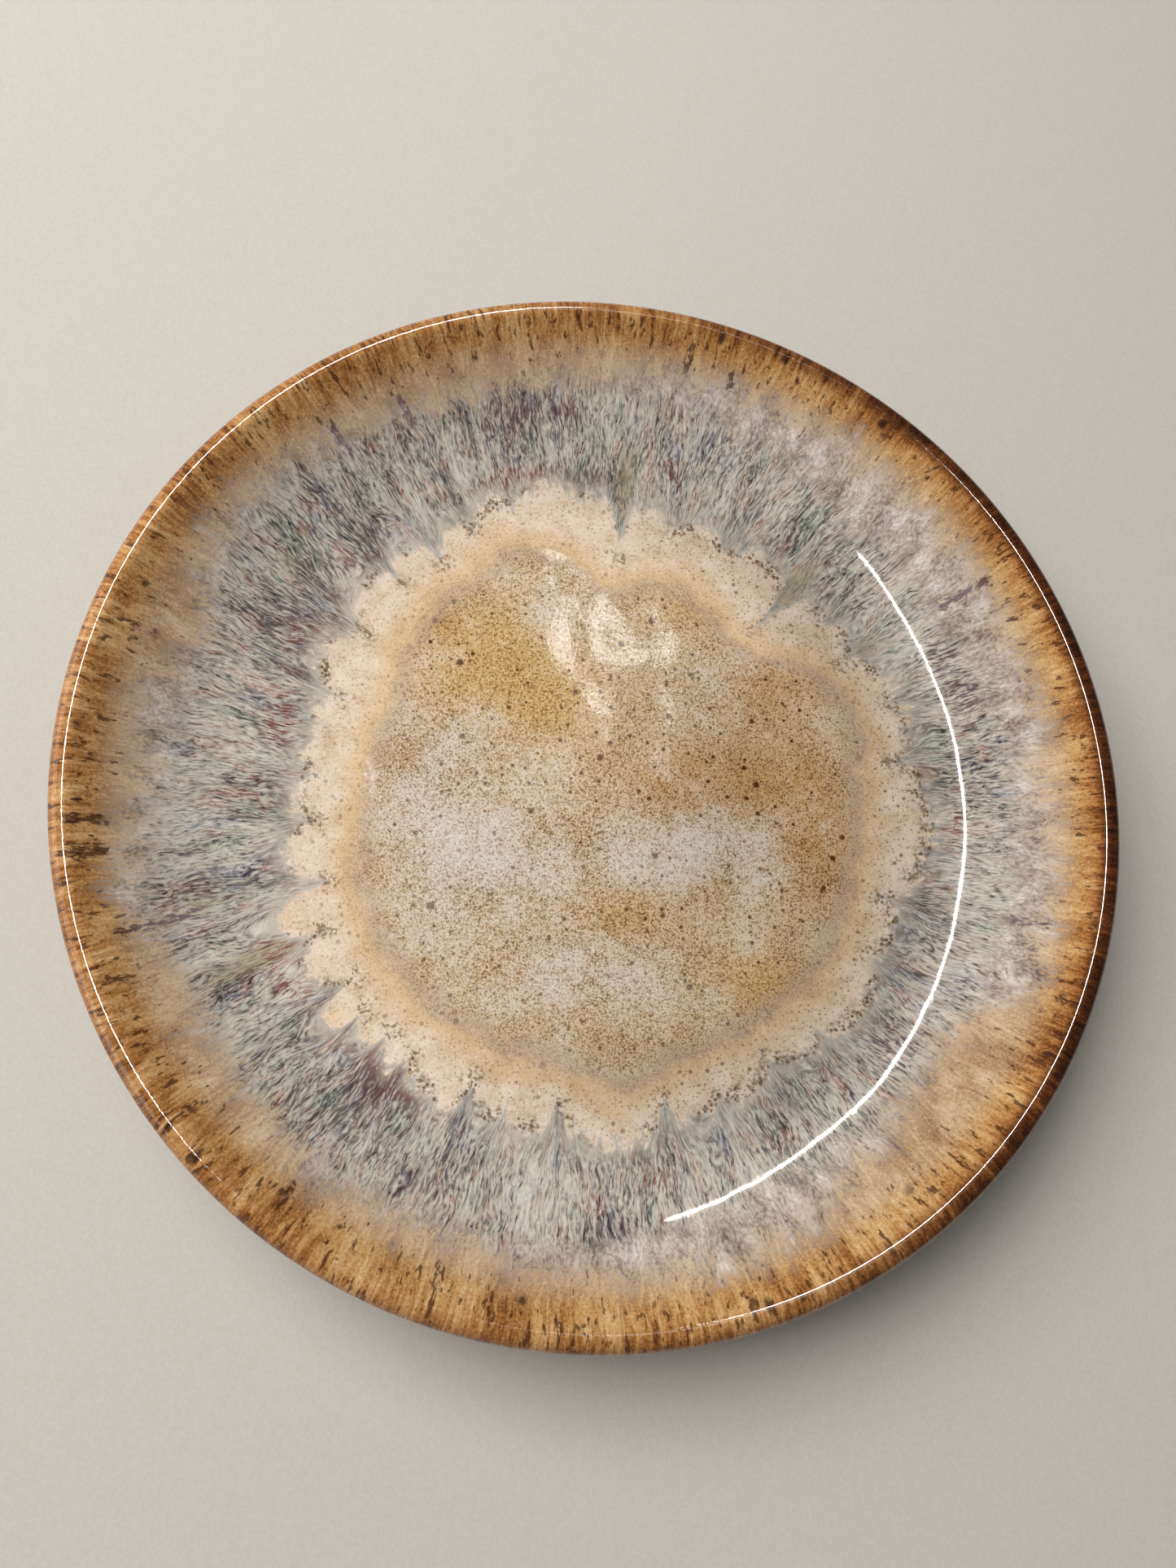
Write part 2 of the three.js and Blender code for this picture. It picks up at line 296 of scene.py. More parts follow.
def plane_waves(count, shortest, longest, height):
    """A gently uneven surface as a list of (wave vector's x, its y, phase, height)."""
    waves = []
    for _ in range(count):
        length = rng.uniform(shortest, longest)
        heading = rng.uniform(0, 2 * math.pi)
        size = height * rng.uniform(0.5, 1) * length / longest
        waves.append((
            2 * math.pi * math.cos(heading) / length,
            2 * math.pi * math.sin(heading) / length,
            rng.uniform(0, 2 * math.pi),
            size,
        ))
    return waves


GLAZE_WAVES = plane_waves(count=16, shortest=11, longest=38, height=0.036)


def unevenness(x, y):
    """How far the glaze's surface lies above its mean level."""
    return sum(size * np.cos(kx * x + ky * y + phase) for kx, ky, phase, size in GLAZE_WAVES)


# ---- the section ----
def face_point(run, height):
    """Radius and height above the foot of the point that lies height above the clay's face."""
    tilt = np.clip((run - WELL_RADIUS) / WALL_RADIUS, 0, WALL_ANGLE)
    on_lip = run > WALL_END
    normal = np.where(on_lip, LIP_FACE_ANGLE - (run - WALL_END) / LIP_RADIUS, math.pi / 2 + tilt)
    cosine, sine = np.cos(normal), np.sin(normal)
    on_wall = run > WELL_RADIUS
    radius = np.where(on_wall, WALL_CENTRE[0] - WALL_RADIUS * cosine, run)
    level = np.where(on_wall, WALL_CENTRE[1] - WALL_RADIUS * sine, FLOOR_Z)
    radius = np.where(on_lip, LIP_CENTRE[0] + LIP_RADIUS * cosine, radius)
    level = np.where(on_lip, LIP_CENTRE[1] + LIP_RADIUS * sine, level)
    return radius + height * cosine, level + height * sine


LIP_SHARE = 0.12  # how much of the back's line, from the lip's outermost line inwards, is its rounding


def back_point(share, height, end_radius):
    """A point raised outwards by height from the clay's back. Share is 0 at the lip and 1 at end_radius."""
    on_lip = share < LIP_SHARE
    lip_angle = LIP_BACK_ANGLE * share / LIP_SHARE
    reach = BACK_RADIUS + height
    end_angle = -np.arccos((end_radius - WELL_RADIUS) / reach)
    wall_angle = LIP_BACK_ANGLE + (end_angle - LIP_BACK_ANGLE) * (share - LIP_SHARE) / (1 - LIP_SHARE)
    angle = np.where(on_lip, lip_angle, wall_angle)
    reach = np.where(on_lip, LIP_RADIUS + height, reach)
    radius = np.where(on_lip, LIP_CENTRE[0], WALL_CENTRE[0]) + reach * np.cos(angle)
    level = np.where(on_lip, LIP_CENTRE[1], WALL_CENTRE[1]) + reach * np.sin(angle)
    return radius, level


RUN_TABLE = np.linspace(0, WALL_END, 1500)
RADIUS_TABLE = face_point(RUN_TABLE, BASE_TOP + POOL_DEPTH)[0]


def run_at(radius):
    """Run along the clay's face below a point of the runny coat at this radius."""
    return np.interp(radius, RADIUS_TABLE, RUN_TABLE)


# ---- meshes from rings of points ----
def placed(name, data):
    made = bpy.data.objects.new(name, data)
    bpy.context.scene.collection.objects.link(made)
    return made


def full_turn(count):
    return np.linspace(0, 2 * math.pi, count, endpoint=False)


HALVING_RADII = (76, 38, 19, 9.5)  # inside each of these a ring has half as many points


def angles_for(radius, most):
    count = most
    for limit in HALVING_RADII:
        if radius < limit:
            count //= 2
    return full_turn(count)


def ring_points(angles, radius, level):
    radius = np.broadcast_to(radius, angles.shape)
    level = np.broadcast_to(level, angles.shape)
    return np.stack([radius * np.cos(angles), radius * np.sin(angles), level], 1)


def centre_point(level):
    """A ring that is a single point on the plate's axis."""
    return ring_points(np.zeros(1), 0.0, level)


def join(first, first_count, second, second_count):
    """Faces between two rings, where one may be a single point or have twice the other's points."""
    flipped = first_count > second_count
    few, many = (second, first) if flipped else (first, second)
    few_count, many_count = sorted((first_count, second_count))
    k = np.arange(many_count if few_count == 1 else few_count)
    after = (k + 1) % len(k)
    if few_count == 1:
        parts = [(few + 0 * k, many + k, many + after)]
    elif few_count == many_count:
        parts = [(few + k, many + k, many + after, few + after)]
    else:
        middle = many + 2 * k + 1
        parts = [
            (few + k, middle - 1, middle),
            (few + k, middle, few + after),
            (few + after, middle, many + 2 * after),
        ]
    faces = np.concatenate([np.stack(part, 1) for part in parts])
    return (faces[:, ::-1] if flipped else faces).tolist()


def ring_mesh(name, rings, closed, creases=()):
    """One closed shell through the rings in order: out along the top and back along the bottom.
    A closed shell joins its last ring to its first, and any other starts and ends in a single point.
    Creases are the numbers of the rings that are sharp edges."""
    starts = np.cumsum([0] + [len(ring) for ring in rings])
    faces = []
    for i in range(len(rings) if closed else len(rings) - 1):
        j = (i + 1) % len(rings)
        faces += join(int(starts[i]), len(rings[i]), int(starts[j]), len(rings[j]))
    points = np.concatenate(rings)
    mesh = bpy.data.meshes.new(name)
    mesh.from_pydata((points * MM).tolist(), [], faces)
    mesh.shade_smooth()
    ring_of_point = np.repeat(np.arange(len(rings)), [len(ring) for ring in rings])
    ends = np.zeros(len(mesh.edges) * 2, np.int32)
    mesh.edges.foreach_get("vertices", ends)
    from_ring, to_ring = ring_of_point[ends.reshape(-1, 2)].T
    sharp = (from_ring == to_ring) & np.isin(from_ring, [c % len(rings) for c in creases])
    mesh.attributes.new("sharp_edge", "BOOLEAN", "EDGE").data.foreach_set("value", sharp)
    mesh.validate()
    return placed(name, mesh), points


FLOW_CIRCLE = 100.0  # radius of the circle that a strand's angle is laid on, so that noise has no seam
FACE_FIELDS = {  # the three numbers that each stored attribute of the face holds
    "flow": ("flow_x", "flow_y", "run"),
    "zones": ("edge", "pool", "amber"),
    "rings": ("radius", "run", "frost"),
    "tints": ("plum", "olive", "pale"),
    "stains": ("dark", "rust", "orange"),
    "clouds": ("cloud", "ochre", "amber_cloud"),
    "marks": ("streak", "char", "shade"),
    "borders": ("tip", "spare", "spare"),
}


def paint_face_fields(piece, points, runs):
    """Stores where each point of the face lies in the glaze's pattern."""
    x, y = points[:, 0], points[:, 1]
    radius = np.hypot(x, y)
    degrees = np.degrees(np.arctan2(y, x)) % 360
    edge = radius - drip_line(degrees)
    turned = np.radians(converging_turn(degrees, edge))
    field = {
        "flow_x": FLOW_CIRCLE * np.cos(turned),
        "flow_y": FLOW_CIRCLE * np.sin(turned),
        "run": runs,
        "radius": radius,
        "edge": edge,
        "streak": streak_field(degrees, radius),
        # char: painted shade, strongest on the plate's right-hand side, away from the light.
        "char": soft_step(np.cos(np.radians(degrees - 2)), 0.05, 0.85),
        # shade: painted light where above 0 and painted shade where below 0, from the two tables of sweeps.
        "shade": ring_patches(PAINTED_LIGHT_SWEEPS, degrees, radius) - ring_patches(PAINTED_SHADE_SWEEPS, degrees, radius),
        "tip": tip_field(degrees, radius),
        "spare": np.zeros_like(radius),
    }
    for name, line in (("pool", POOL_EDGE), ("amber", AMBER_EDGE), ("frost", FROST_EDGE)):
        field[name] = radius - ring_line(line, degrees)
    for name, table in PATCHES.items():
        field[name] = ring_patches(table, degrees, radius)
    for name, table in CLOUDS.items():
        field[name] = clouds(table, x, y)
    for name, columns in FACE_FIELDS.items():
        values = np.stack([field[column] for column in columns], 1).astype(np.float32)
        piece.data.attributes.new(name, "FLOAT_VECTOR", "POINT").data.foreach_set("vector", values.ravel())


# ---- the face's coats ----
FACE_ANGLES = 1080
BASE_ANGLES = 720


def coat_ring(angles, run, height):
    """A ring of the face, height above the speckled coat's own uneven surface."""
    run = np.broadcast_to(np.asarray(run, float), angles.shape)
    radius, _ = face_point(run, BASE_TOP)
    calm = 1 - 0.9 * soft_step(radius, 64, 88) - 0.1 * soft_step(run, WALL_END - 6, WALL_END + 1)
    lift = unevenness(radius * np.cos(angles), radius * np.sin(angles)) * calm
    radius, level = face_point(run, BASE_TOP + lift + height)
    return ring_points(angles, radius, level)


def bond_ring(angles, run):
    """A ring of the speckled coat's underside."""
    return ring_points(angles, *face_point(run, BOND_GAP))


def speckled_coat():
    wall = np.concatenate([np.geomspace(0.8, 6, 8), np.arange(7.5, WALL_END, 1.5)])
    lip = np.linspace(WALL_END + 0.1, LIP_END, 22)
    top_runs = np.concatenate([wall, lip])
    lip_under = np.linspace(LIP_END, WALL_END, 10)
    wall_under = np.linspace(WALL_END, 78, 16)[1:]
    under_runs = np.concatenate([lip_under, wall_under, [60, 45, 30, 17, 8, 4]])

    rings = [centre_point(FLOOR_Z + BASE_TOP + unevenness(0.0, 0.0))]
    rings += [coat_ring(angles_for(run, BASE_ANGLES), run, 0.0) for run in top_runs]
    outer = len(rings) - 1
    rings += [bond_ring(angles_for(run, BASE_ANGLES), run) for run in under_runs]
    rings.append(centre_point(FLOOR_Z + BOND_GAP))
    piece, points = ring_mesh("speckled_glaze_coat", rings, closed=False, creases=(outer, outer + 1))
    runs = np.concatenate([[0.0], top_runs, under_runs, [0.0]])
    paint_face_fields(piece, points, np.repeat(runs, [len(ring) for ring in rings]))
    return piece


THINNEST = 0.02  # thickness of the runny coat at its ends
BEAD_HEIGHT = 0.02
BEAD_PLACE = 1.8  # outwards of the drips' line, and half the bead's width


def runny_height(run, inner_run, edge):
    """The runny coat's surface, which thins out at both ends and swells a little at the drips' line."""
    inner = soft_step(run - inner_run, -0.5, 25)
    outer = 1 - soft_step(run, FLOW_END - 24, FLOW_END)
    bead = BEAD_HEIGHT * np.exp(-(((edge - BEAD_PLACE) / BEAD_PLACE) ** 2))
    return FUSED_GAP + THINNEST + (POOL_DEPTH + bead) * inner * outer


def runny_coat(name, from_run, to_run, inner_run, shares, under_rings):
    """The runny coat between two runs, with a ring of points at each share of the way."""
    angles = full_turn(FACE_ANGLES)
    line = drip_line(np.degrees(angles))
    rings, runs = [], []
    for share in shares:
        run = from_run + (to_run - from_run) * share
        radius, _ = face_point(run, BASE_TOP + POOL_DEPTH)
        rings.append(coat_ring(angles, run, runny_height(run, inner_run, radius - line)))
        runs.append(run)
    for share in np.linspace(1, 0, under_rings):
        run = from_run + (to_run - from_run) * share
        rings.append(coat_ring(angles, run, FUSED_GAP))
        runs.append(run)
    top = len(shares)
    piece, points = ring_mesh(name, rings, closed=True, creases=(0, top - 1, top, top + under_rings - 1))
    paint_face_fields(piece, points, np.concatenate(runs))
    return piece


# ---- the back and the clay ----
CLAY_ANGLES = BASE_ANGLES * 2 // 3
OTHER_PATCH = 500  # moves the glaze's unevenness along, so that the back doesn't repeat the face
COAT_EDGE = 0.05  # thickness of the back's coats at their stop lines
RECESS_COAT = 0.7
RECESS_ROUNDING = 0.9
TURNING_PITCH = 4.2  # of the fine lines beside the foot ring, in radians to the millimetre


def wavy(degrees, size, phase):
    """A small unevenness round a ring."""
    turn = np.radians(degrees)
    waves = ((3, 1.0, 1.0), (7, 0.6, 2.1), (16, 0.4, 3.7), (31, 0.2, 5.3))  # (count, share, shift)
    return size * sum(share * np.sin(count * turn + shift * phase) for count, share, shift in waves)


def back_coat():
    """The coat over the back, from under the lip to a wavy stop line with a soft bead."""
    angles = full_turn(BASE_ANGLES)
    stop = FOOT_OUTER + FOOT_BARE + 0.8 + wavy(np.degrees(angles), 0.4, 1.0)
    edge_height = BOND_GAP + COAT_EDGE
    lip_shares = np.linspace(0, LIP_SHARE, 12)
    wall_shares = np.linspace(LIP_SHARE, 0.96, 52)[1:]
    bead_shares = np.linspace(0.96, 1, 9)[1:]
    top_shares = np.concatenate([lip_shares, wall_shares, bead_shares])
    bond_shares = np.concatenate([np.linspace(0, LIP_SHARE, 5), np.linspace(LIP_SHARE, 1, 18)[1:]])

    rings = []
    for share in bond_shares[::-1]:
        rings.append(ring_points(angles, *back_point(share, BOND_GAP, stop)))
    for share in top_shares:
        rounding = math.sqrt(max(0.0, 1 - max(0.0, (share - 0.975) / 0.025) ** 2))
        swell = 0.15 * soft_step(share, 0.9, 0.97)
        height = edge_height + (BACK_TOP - edge_height + swell) * rounding
        height += (BASE_TOP - BACK_TOP) * (1 - soft_step(share, 0, 0.05))
        radius, _ = back_point(share, height, stop)
        sag = unevenness(radius * np.cos(angles) + OTHER_PATCH, radius * np.sin(angles))
        sag *= rounding * soft_step(share, 0.02, 0.2)
        rings.append(ring_points(angles, *back_point(share, height + sag, stop)))
    bond = len(bond_shares)
    return ring_mesh("back_glaze_coat", rings, closed=True, creases=(bond - 1, bond))[0]


def recess_coat():
    """The disc of glaze inside the foot ring, with a rounded wavy rim."""
    level = RECESS_HEIGHT - BOND_GAP
    skin = level - RECESS_COAT
    stop = FOOT_INNER - FOOT_FILLET / 2 - RECESS_BARE
    rings = [centre_point(level)]
    for radius in (4, 8, 17, 30, 45, 60, 70.5):
        rings.append(ring_points(angles_for(radius, CLAY_ANGLES), radius, level))
    rim_angles = angles_for(stop, CLAY_ANGLES)
    rim = stop + wavy(np.degrees(rim_angles), 0.35, 2.0)
    for turn in np.linspace(0, math.pi / 2, 6):
        rim_radius = rim - RECESS_ROUNDING * (1 - math.cos(turn))
        rim_level = level - COAT_EDGE - (RECESS_COAT - COAT_EDGE) * math.sin(turn)
        rings.append(ring_points(rim_angles, rim_radius, rim_level))
    for radius in np.concatenate([np.arange(69.5, 8, -1.8), np.geomspace(6, 0.8, 7)]):
        angles = angles_for(radius, CLAY_ANGLES)
        sag = unevenness(radius * np.cos(angles), radius * np.sin(angles) + OTHER_PATCH)
        rings.append(ring_points(angles, radius, skin - sag))
    rings.append(centre_point(skin - unevenness(0.0, OTHER_PATCH)))
    return ring_mesh("recess_glaze_coat", rings, closed=False)[0]


def arc(centre, radius, start, end, steps):
    """Points of the section along an arc."""
    angles = np.linspace(start, end, steps)
    return np.stack([centre[0] + radius * np.cos(angles), centre[1] + radius * np.sin(angles)], 1)


def bend(start, corner, end, shares):
    """Points of the section along a curve that is pulled towards the corner."""
    u = np.array(shares)[:, None]
    return (1 - u) ** 2 * start + 2 * u * (1 - u) * corner + u * u * end


def turned_band(radii, level, depth, pitch):
    """Points of the section with the fine lines that a turning tool leaves."""
    return np.stack([radii, level + depth * np.sin(radii * pitch)], 1)


def face_of_clay():
    """The section's face and its lip."""
    well = [(radius, FLOOR_Z) for radius in (4, 8, 17, 30, 50)]
    wall = arc(WALL_CENTRE, WALL_RADIUS, -math.pi / 2, LIP_BACK_ANGLE, 24)
    return [well, wall, arc(LIP_CENTRE, LIP_RADIUS, LIP_FACE_ANGLE, LIP_BACK_ANGLE, 16)]


def back_of_clay():
    """The section's back, with turning lines on the band that stays bare beside the foot ring."""
    bare_angle = -math.acos((94 - WELL_RADIUS) / BACK_RADIUS)
    radii = np.arange(93.6, FOOT_OUTER + FOOT_FILLET, -0.4)
    level = WALL_CENTRE[1] - np.sqrt(BACK_RADIUS**2 - (radii - WELL_RADIUS) ** 2)
    glazed_back = arc(WALL_CENTRE, BACK_RADIUS, LIP_BACK_ANGLE, bare_angle, 24)
    return [glazed_back, turned_band(radii, level, 0.035, TURNING_PITCH)]


def foot_of_clay():
    """The section's foot ring, from its outer fillet to its inner one."""
    fillet_start = FOOT_OUTER + FOOT_FILLET
    fillet_level = WALL_CENTRE[1] - math.sqrt(BACK_RADIUS**2 - (fillet_start - WELL_RADIUS) ** 2)
    side_top = np.array([FOOT_OUTER, RECESS_HEIGHT - FOOT_FILLET / 2])
    corner = np.array([FOOT_OUTER + 0.1, RECESS_HEIGHT + 0.4])
    outer_fillet = bend(np.array([fillet_start, fillet_level]), corner, side_top, np.linspace(0.05, 1, 8))

    outer_edge = np.array([FOOT_OUTER - FOOT_TAPER - FOOT_EDGE, FOOT_EDGE])
    inner_edge = np.array([FOOT_INNER + FOOT_TAPER + FOOT_EDGE, FOOT_EDGE])
    u = np.linspace(0.1, 0.95, 12)[:, None]
    side = side_top + (outer_edge + (FOOT_EDGE, 0) - side_top) * u
    side[:, 0] += 0.05 * np.sin(u[:, 0] * 22)
    rest = turned_band(np.linspace(outer_edge[0], inner_edge[0], 12)[1:-1], 0.02, 0.02, 5)

    inner_top = np.array([FOOT_INNER, RECESS_HEIGHT - FOOT_FILLET / 2])
    inner_foot = inner_edge - (FOOT_EDGE, 0)
    inner_side = inner_foot + (inner_top - inner_foot) * np.linspace(0.1, 1, 8)[:, None]
    ceiling = np.array([FOOT_INNER - FOOT_FILLET / 2, RECESS_HEIGHT])
    inner_fillet = bend(inner_top, np.array([FOOT_INNER, RECESS_HEIGHT]), ceiling, np.linspace(0.2, 1, 5))
    return [
        outer_fillet, side, arc(outer_edge, FOOT_EDGE, 0, -math.pi / 2, 8), rest,
        arc(inner_edge, FOOT_EDGE, -math.pi / 2, -math.pi, 8), inner_side, inner_fillet,
    ]


def clay_body():
    bare_ring = turned_band(np.arange(74.2, 69, -0.4), RECESS_HEIGHT - 0.03, -0.03, 4)
    recess = [(radius, RECESS_HEIGHT) for radius in (60, 45, 30, 17, 8, 4)]
    profile = np.concatenate([*face_of_clay(), *back_of_clay(), *foot_of_clay(), bare_ring, recess])
    rings = [ring_points(angles_for(radius, CLAY_ANGLES), radius, level) for radius, level in profile]
    rings = [centre_point(FLOOR_Z), *rings, centre_point(RECESS_HEIGHT)]
    return ring_mesh("clay_body", rings, closed=False)[0]


face_degrees = np.degrees(full_turn(FACE_ANGLES))
drip_run = run_at(drip_line(face_degrees))
pool_run = run_at(ring_line(POOL_EDGE, face_degrees))
flow_end = np.full(FACE_ANGLES, FLOW_END)

speckled_piece = speckled_coat()
pool_shares = np.linspace(0, 1, 20)
pool_piece = runny_coat("cream_pool_coat", pool_run, drip_run, pool_run, pool_shares, under_rings=5)
flow_shares = np.linspace(0, 1, 44) ** 1.25  # closer together at the drips
flow_piece = runny_coat("streaked_glaze_coat", drip_run, flow_end, pool_run, flow_shares, under_rings=12)
back_piece = back_coat()
recess_piece = recess_coat()
clay_piece = clay_body()


# ---- materials ----
RAMP_PLACES = (0.0, 0.18, 0.37, 0.5, 0.63, 0.82, 1.0)
LIGHT_WHITE = (1.0, 0.95, 0.88)  # what a white matte surface sends back under the scene's warm light


def shown(red, green, blue):
    """The reflectance that shows as this screen colour (0 to 255) under the scene's light."""
    screen = np.array([red, green, blue]) / 255
    linear = np.where(screen <= 0.04045, screen / 12.92, ((screen + 0.055) / 1.055) ** 2.4)
    return tuple(float(v) for v in np.minimum(linear / LIGHT_WHITE, 0.9))


class Graph:
    """Short ways to add nodes to a shader tree. Each takes sockets or plain values and gives a socket."""

    def __init__(self, tree):
        self.tree = tree

    def node(self, kind, **settings):
        made = self.tree.nodes.new(kind)
        for key, value in settings.items():
            setattr(made, key, value)
        return made

    def plug(self, socket, value):
        if isinstance(value, bpy.types.NodeSocket):
            self.tree.links.new(value, socket)
        elif isinstance(value, tuple) and socket.type == "RGBA":
            socket.default_value = (*value, 1.0)
        else:
            socket.default_value = value

    def math(self, operation, a, b=0.0, clamp=False):
        made = self.node("ShaderNodeMath", operation=operation, use_clamp=clamp)
        self.plug(made.inputs[0], a)
        self.plug(made.inputs[1], b)
        return made.outputs[0]

    def add(self, *terms):
        total = terms[0]
        for term in terms[1:]:
            total = self.math("ADD", total, term)
        return total

    def times(self, *factors):
        total = factors[0]
        for factor in factors[1:]:
            total = self.math("MULTIPLY", total, factor)
        return total

    def swayed(self, start, *swings):
        """Start, plus each (noise, gain) as the noise about zero times its gain."""
        return self.add(start, *(self.swing(noise, gain) for noise, gain in swings))

    def swing(self, noise, gain):
        """The noise about zero, times gain."""
        return self.times(self.math("SUBTRACT", noise, 0.5), gain)

    def vector(self, operation, a, b):
        made = self.node("ShaderNodeVectorMath", operation=operation)
        self.plug(made.inputs[0], a)
        self.plug(made.inputs[1], b)
        return made.outputs[0]

    def rise(self, value, low, high):
        """Smoothly from 0 at low to 1 at high. Low may be the larger, for a fall."""
        made = self.node("ShaderNodeMapRange", interpolation_type="SMOOTHSTEP")
        self.plug(made.inputs["Value"], value)
        ends = (low, high, 0.0, 1.0) if low < high else (high, low, 1.0, 0.0)
        for name, end in zip(("From Min", "From Max", "To Min", "To Max"), ends):
            made.inputs[name].default_value = end
        return made.outputs[0]

    def mix(self, share, a, b, mode="MIX"):
        made = self.node("ShaderNodeMix", data_type="RGBA", blend_type=mode)
        self.plug(made.inputs[0], share)
        self.plug(made.inputs[6], a)
        self.plug(made.inputs[7], b)
        return made.outputs[2]

    def tinted(self, colour, tint):
        """The colour times the tint, channel by channel."""
        return self.mix(1.0, colour, tint, "MULTIPLY")

    def stained(self, colour, screen_colour, *shares):
        """The colour, covered with a screen colour by the product of the shares."""
        return self.mix(self.times(*shares), colour, shown(*screen_colour))

    def ramp(self, share, screen_colours):
        """Through screen colours from dark to light, spaced so that noise spreads over them evenly."""
        made = self.node("ShaderNodeValToRGB")
        stops = made.color_ramp.elements
        for place in RAMP_PLACES[1:-1]:
            stops.new(place)
        for stop, place, screen_colour in zip(stops, RAMP_PLACES, screen_colours):
            stop.position = place
            stop.color = (*shown(*screen_colour), 1.0)
        self.plug(made.inputs["Fac"], share)
        return made.outputs["Color"]

    def attribute(self, name):
        return self.node("ShaderNodeAttribute", attribute_name=name).outputs["Vector"]

    def split(self, vector):
        """The vector's three numbers."""
        made = self.node("ShaderNodeSeparateXYZ")
        self.plug(made.inputs[0], vector)
        return made.outputs

    def place(self):
        """The point's place in millimetres."""
        return self.vector("MULTIPLY", self.node("ShaderNodeTexCoord").outputs["Object"], (1 / MM,) * 3)

    def raw_noise(self, vector, detail, roughness=0.5):
        made = self.node("ShaderNodeTexNoise", noise_dimensions="3D")
        self.plug(made.inputs["Vector"], vector)
        for name, value in (("Scale", 1.0), ("Detail", detail), ("Roughness", roughness)):
            made.inputs[name].default_value = value
        return made.outputs

    def noise(self, vector, across, along=None, detail=2.0, roughness=0.5, shift=0.0):
        """Noise about 0.5 whose grain is about across wide and along long, in the vector's own units."""
        scaled = self.vector("MULTIPLY", vector, (1 / across, 1 / across, 1 / (along or across)))
        moved = self.vector("ADD", scaled, (shift, shift * 0.7, shift * 1.3))
        return self.raw_noise(moved, detail, roughness)["Fac"]

    def dots(self, vector, spacing, share, smallest, largest, blur=0.3):
        """1 inside round dots of radii between smallest and largest, one in a share of the cells."""
        made = self.node("ShaderNodeTexVoronoi", feature="F1", voronoi_dimensions="3D")
        self.plug(made.inputs["Vector"], self.vector("MULTIPLY", vector, (1 / spacing,) * 3))
        made.inputs["Scale"].default_value = 1.0
        chance, size, _ = self.split(made.outputs["Color"])
        radius = self.add(smallest / spacing, self.times(size, (largest - smallest) / spacing))
        chosen = self.rise(chance, share + 0.02, share - 0.02)
        reach = self.math("DIVIDE", made.outputs["Distance"], radius)
        return self.times(self.rise(reach, 1.0 + blur, 1.0 - blur), chosen)


def glaze_fields(g):
    """The stored fields, and the noises that several colours of the glaze share."""
    f = SimpleNamespace(place=g.place(), flow=g.attribute("flow"))
    for name, columns in FACE_FIELDS.items():
        for column, socket in zip(columns, g.split(g.attribute(name))):
            setattr(f, column, socket)

    # The strands' own wander, so that they bend like combed hair.
    wander = g.raw_noise(g.vector("MULTIPLY", f.flow, (0.12, 0.12, 0.06)), 2.0)["Color"]
    f.push = g.vector("MULTIPLY", g.vector("SUBTRACT", wander, (0.5, 0.5, 0.5)), (5.0, 5.0, 9.0))
    f.bent = g.vector("ADD", f.flow, f.push)

    f.grain = g.noise(f.place, 0.55, roughness=0.7)
    f.sand = g.noise(f.place, 0.7, roughness=0.65, shift=43)
    f.grit = g.noise(f.bent, 0.6, 1.4, detail=3, roughness=0.7, shift=31)
    f.hair = g.noise(f.bent, 0.46, 4.2, detail=3, roughness=0.65, shift=4)
    f.fuzz = g.noise(f.bent, 0.5, 1.5, detail=1, shift=8)
    f.tuft = g.noise(f.bent, 1.1, 7, roughness=0.6, shift=16)
    f.bundle = g.noise(f.bent, 2.6, 24, shift=2)
    f.field = g.noise(f.bent, 9, 26, shift=18)
    f.hue = g.noise(f.bent, 6, 20, detail=3, roughness=0.6, shift=15)
    f.groove = g.noise(f.flow, 1.1, 30, detail=3, roughness=0.7, shift=49)
    f.near_lip = g.rise(f.run, WALL_END - 10, WALL_END)

    f.fine_dots = g.dots(f.place, 0.95, 0.7, 0.15, 0.36, 0.5)
    f.small_spots = g.dots(f.place, 2.6, 0.5, 0.26, 0.66, 0.45)
    large_spots = g.dots(g.vector("ADD", f.place, (9.0, 4.0, 0.0)), 7.5, 0.6, 0.5, 1.2, 0.4)
    f.spots = g.math("MAXIMUM", f.small_spots, large_spots)
    return f


def well_colour(g, f):
    """Oat and gold, with clouds, dense fine brown speckle and iron spots."""
    mottle = g.noise(f.place, 2.6, detail=3, roughness=0.6, shift=7)
    drift = g.noise(f.place, 17, detail=3, roughness=0.55, shift=3)
    level = g.swayed(0.56, (f.grain, 2.7), (mottle, 0.45), (drift, 0.7))
    well = g.ramp(level, [
        (104, 68, 34), (150, 114, 73), (184, 154, 115), (199, 172, 135),
        (207, 183, 148), (213, 192, 160), (222, 204, 176),
    ])
    golden = g.tinted(well, (0.98, 0.84, 0.55))
    ambered = g.tinted(well, (0.82, 0.61, 0.37))
    gold_share = g.rise(g.swayed(f.ochre, (mottle, 0.5)), 0.0, 0.9)
    amber_share = g.rise(g.swayed(f.amber_cloud, (mottle, 0.6)), 0.05, 1.1)
    well = g.mix(g.times(gold_share, 0.9), well, golden)
    well = g.mix(g.times(amber_share, 0.85), well, ambered)
    mist = g.ramp(level, [
        (128, 102, 76), (170, 149, 124), (196, 181, 162), (207, 194, 178),
        (212, 201, 187), (217, 207, 194), (224, 215, 203),
    ])
    misty = g.swayed(f.cloud, (mottle, 1.1), (drift, 1.8), (f.grain, 1.0))
    well = g.mix(g.times(g.rise(misty, 0.0, 1.2), 0.9), well, mist)
    thick = g.add(0.8, g.times(f.amber_cloud, 0.3), g.times(f.ochre, 0.1), g.times(f.cloud, -0.2))
    well = g.stained(well, (98, 60, 26), f.fine_dots, thick, 0.8)
    return g.stained(well, (82, 44, 16), f.spots, thick)


